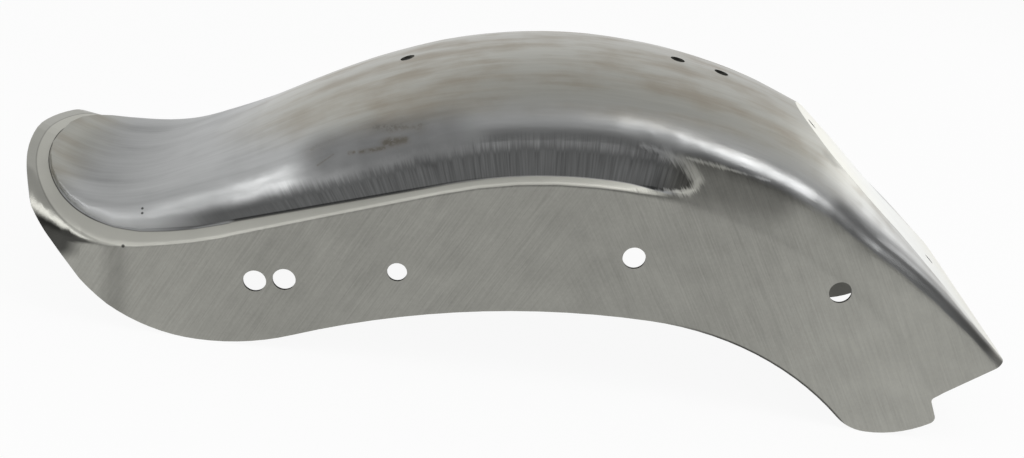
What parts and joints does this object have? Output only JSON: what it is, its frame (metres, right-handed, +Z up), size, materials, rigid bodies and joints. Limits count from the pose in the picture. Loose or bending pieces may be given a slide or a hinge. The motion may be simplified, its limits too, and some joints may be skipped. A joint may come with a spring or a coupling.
{
  "type": "bobbed rear fender",
  "caption": "Short rear fender pressed from sheet steel, with flat skirts, a stepped crown, a flared tail lip and a flat for the seat at its front end.",
  "frame": {"origin": "middle of the length and width, at the height of the skirts' lowest edge", "axes": "+X forward along the bike, +Y to its left, +Z up"},
  "size_m": [0.7053, 0.215, 0.2219],
  "materials": {
    "raw_steel": "bare sanded steel, unpainted"
  },
  "bodies": {
    "root": {"fender_shell": "raw_steel"}
  },
  "joints": []
}
